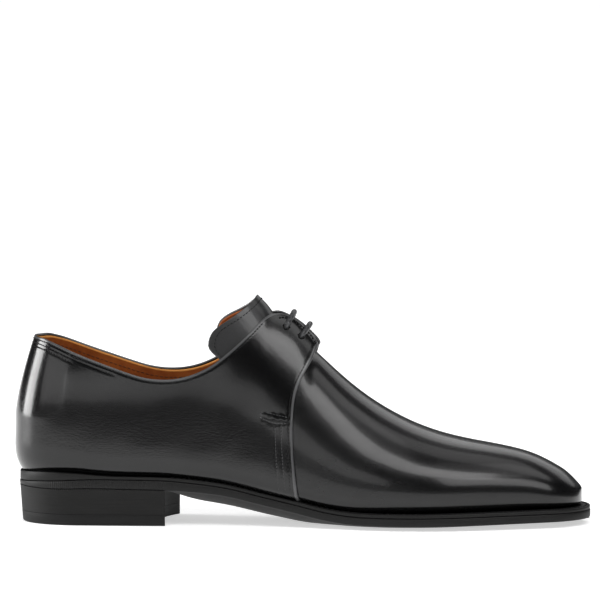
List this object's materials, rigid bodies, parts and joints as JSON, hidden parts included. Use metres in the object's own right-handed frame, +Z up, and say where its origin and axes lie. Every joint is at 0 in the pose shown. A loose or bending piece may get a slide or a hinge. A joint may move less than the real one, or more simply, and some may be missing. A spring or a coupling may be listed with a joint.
{
  "type": "leather shoe",
  "caption": "Right-foot men's derby dress shoe: hollow leather upper with open collar and two pairs of laced eyelets on a welted leather sole with a stacked heel.",
  "frame": {"origin": "on the floor, under the middle of the shoe's bounding box", "axes": "+X from the heel to the toe, +Y to the inner side of the foot, +Z up; the shoe stands on z = 0"},
  "size_m": [0.3124, 0.105, 0.1238],
  "materials": {
    "calf_leather": "polished black calf",
    "sole_leather": "black dyed and waxed edge",
    "lining_leather": "tan, matt",
    "heel_rubber": "matt",
    "lace_cord": "waxed black cord"
  },
  "bodies": {
    "root": {"outsole": "sole_leather", "welt": "sole_leather", "heel_top_piece": "heel_rubber", "heel_lift_1": "sole_leather", "heel_lift_2": "sole_leather", "heel_lift_3": "sole_leather", "insole": "lining_leather", "upper": "calf_leather", "tongue": "calf_leather", "lace": "lace_cord"}
  },
  "joints": []
}
